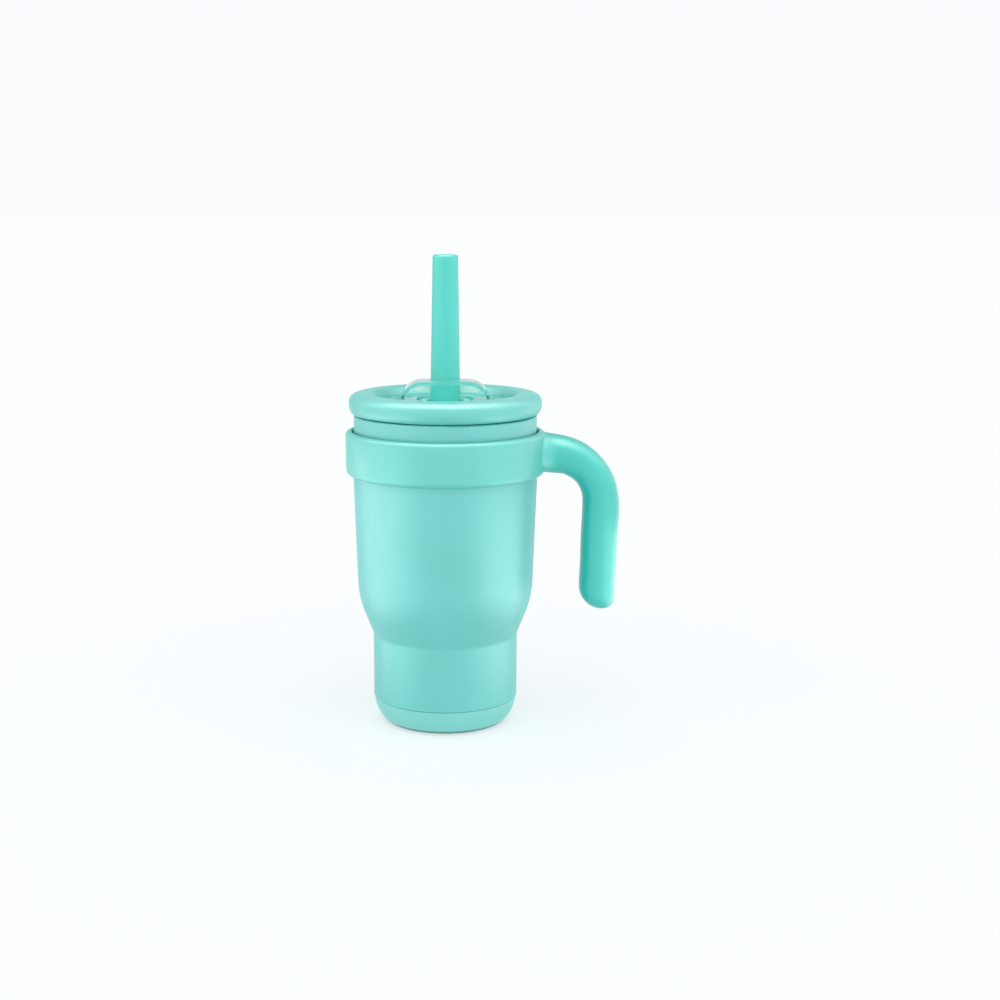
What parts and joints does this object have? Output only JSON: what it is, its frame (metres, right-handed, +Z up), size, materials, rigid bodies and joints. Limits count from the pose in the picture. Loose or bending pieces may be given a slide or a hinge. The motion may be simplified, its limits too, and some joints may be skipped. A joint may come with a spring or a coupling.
{
  "type": "insulated straw cup",
  "caption": "Small insulated steel cup with a stepped body, a collar-mounted side handle, a push-in lid with a soft rim, a turning clear cover and an upright straw.",
  "frame": {"origin": "centre of the standing face, on the cup's axis", "axes": "+Z up along the cup's axis, +X towards the handle, -Y towards the hood's open side"},
  "size_m": [0.1195, 0.0868, 0.2049],
  "materials": {
    "powder_coat": "fine-textured matt powder coat, mint green",
    "brushed_liner": "brushed stainless steel",
    "raw_steel": "as-pressed stainless steel",
    "solder": "dull solder",
    "getter_capsule": "sintered metal, dull",
    "mint_plastic": "satin moulded plastic, mint green",
    "mint_soft_rim": "soft-touch moulded rim, mint green",
    "mint_silicone": "smooth silicone, mint green",
    "translucent_silicone": "translucent silicone",
    "foot_rubber": "light grey anti-slip silicone",
    "sleeve_rubber": "soft grip sleeve",
    "lid_plastic": "translucent moulded plastic",
    "clear_plastic": "clear moulded plastic",
    "ring_plastic": "natural white plastic",
    "straw_plastic": "translucent plastic tube"
  },
  "bodies": {
    "cup": {"outer_shell": "powder_coat", "inner_liner": "brushed_liner", "vacuum_base": "raw_steel", "vacuum_seal_bead": "solder", "getter": "getter_capsule", "base_cap": "mint_plastic", "foot_pad": "foot_rubber"},
    "handle": {"handle_shell": "mint_plastic", "band_liner": "sleeve_rubber"},
    "lid": {"lid_base": "lid_plastic", "lid_rim": "mint_soft_rim", "lid_gasket": "translucent_silicone", "straw_seal": "translucent_silicone", "vent_valve": "translucent_silicone", "cover_snap_ring": "ring_plastic"},
    "cover": {"rotating_cover": "clear_plastic", "cover_seal_pad": "translucent_silicone"},
    "straw": {"straw_spout": "mint_silicone", "straw_tube": "straw_plastic"}
  },
  "joints": [
    {"name": "lid_lift", "type": "slide", "parent": "cup", "child": "lid", "axis": [0, 0, 1], "range_m": [0, 0.12]},
    {"name": "cover_turn", "type": "hinge", "parent": "lid", "child": "cover", "pos_m": [0, 0, 0.1386], "axis": [0, 0, 1], "range_deg": [0, 90]},
    {"name": "straw_pull", "type": "slide", "parent": "lid", "child": "straw", "axis": [0, 0, 1], "range_m": [0, 0.135]},
    {"name": "handle_turn", "type": "hinge", "parent": "cup", "child": "handle", "pos_m": [0, 0, 0.12], "axis": [0, 0, 1], "continuous": true}
  ]
}
